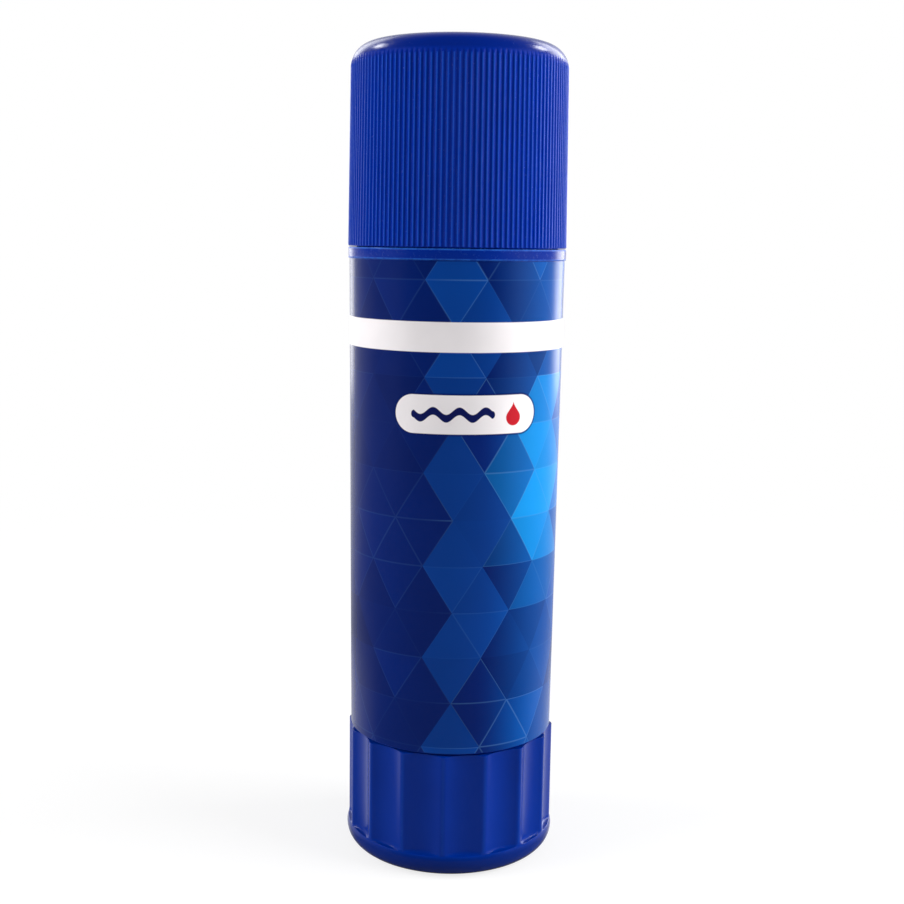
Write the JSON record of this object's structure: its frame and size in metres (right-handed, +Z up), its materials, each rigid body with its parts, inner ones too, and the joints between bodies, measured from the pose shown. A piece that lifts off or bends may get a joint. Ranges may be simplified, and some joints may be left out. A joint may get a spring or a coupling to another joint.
{
  "type": "glue stick",
  "caption": "Twist-up glue stick with a ribbed pull-off cap, labelled barrel, fluted turning base and a screw-driven glue carrier.",
  "frame": {"origin": "on the table under the stick's own axis, at the middle of its foot ring", "axes": "+Z up along the stick's axis towards the cap; -Y is the front that the picture shows; +X is to the right"},
  "size_m": [0.0306, 0.0306, 0.1148],
  "materials": {
    "cap_plastic": "glossy moulded",
    "barrel_plastic": "glossy moulded",
    "base_plastic": "glossy moulded",
    "label_film": "printed film",
    "inner_plastic": "natural moulded",
    "glue_paste": "soft waxy paste"
  },
  "bodies": {
    "barrel": {"barrel": "barrel_plastic", "label": "label_film"},
    "knob": {"base_knob": "base_plastic", "feed_screw": "inner_plastic"},
    "carrier": {"carrier": "inner_plastic", "glue": "glue_paste"},
    "cap": {"cap": "cap_plastic"}
  },
  "joints": [
    {"name": "knob_twist", "type": "hinge", "parent": "barrel", "child": "knob", "pos_m": [0, 0, 0], "axis": [0, 0, 1], "range_deg": [0, 1440]},
    {"name": "carrier_rise", "type": "slide", "parent": "barrel", "child": "carrier", "axis": [0, 0, 1], "range_m": [0, 0.016]},
    {"name": "cap_pull", "type": "slide", "parent": "barrel", "child": "cap", "axis": [0, 0, 1], "range_m": [0, 0.06]}
  ],
  "couplings": [
    {"joint": "knob_twist", "follows": "carrier_rise", "rad_per_m": 1570.8}
  ]
}
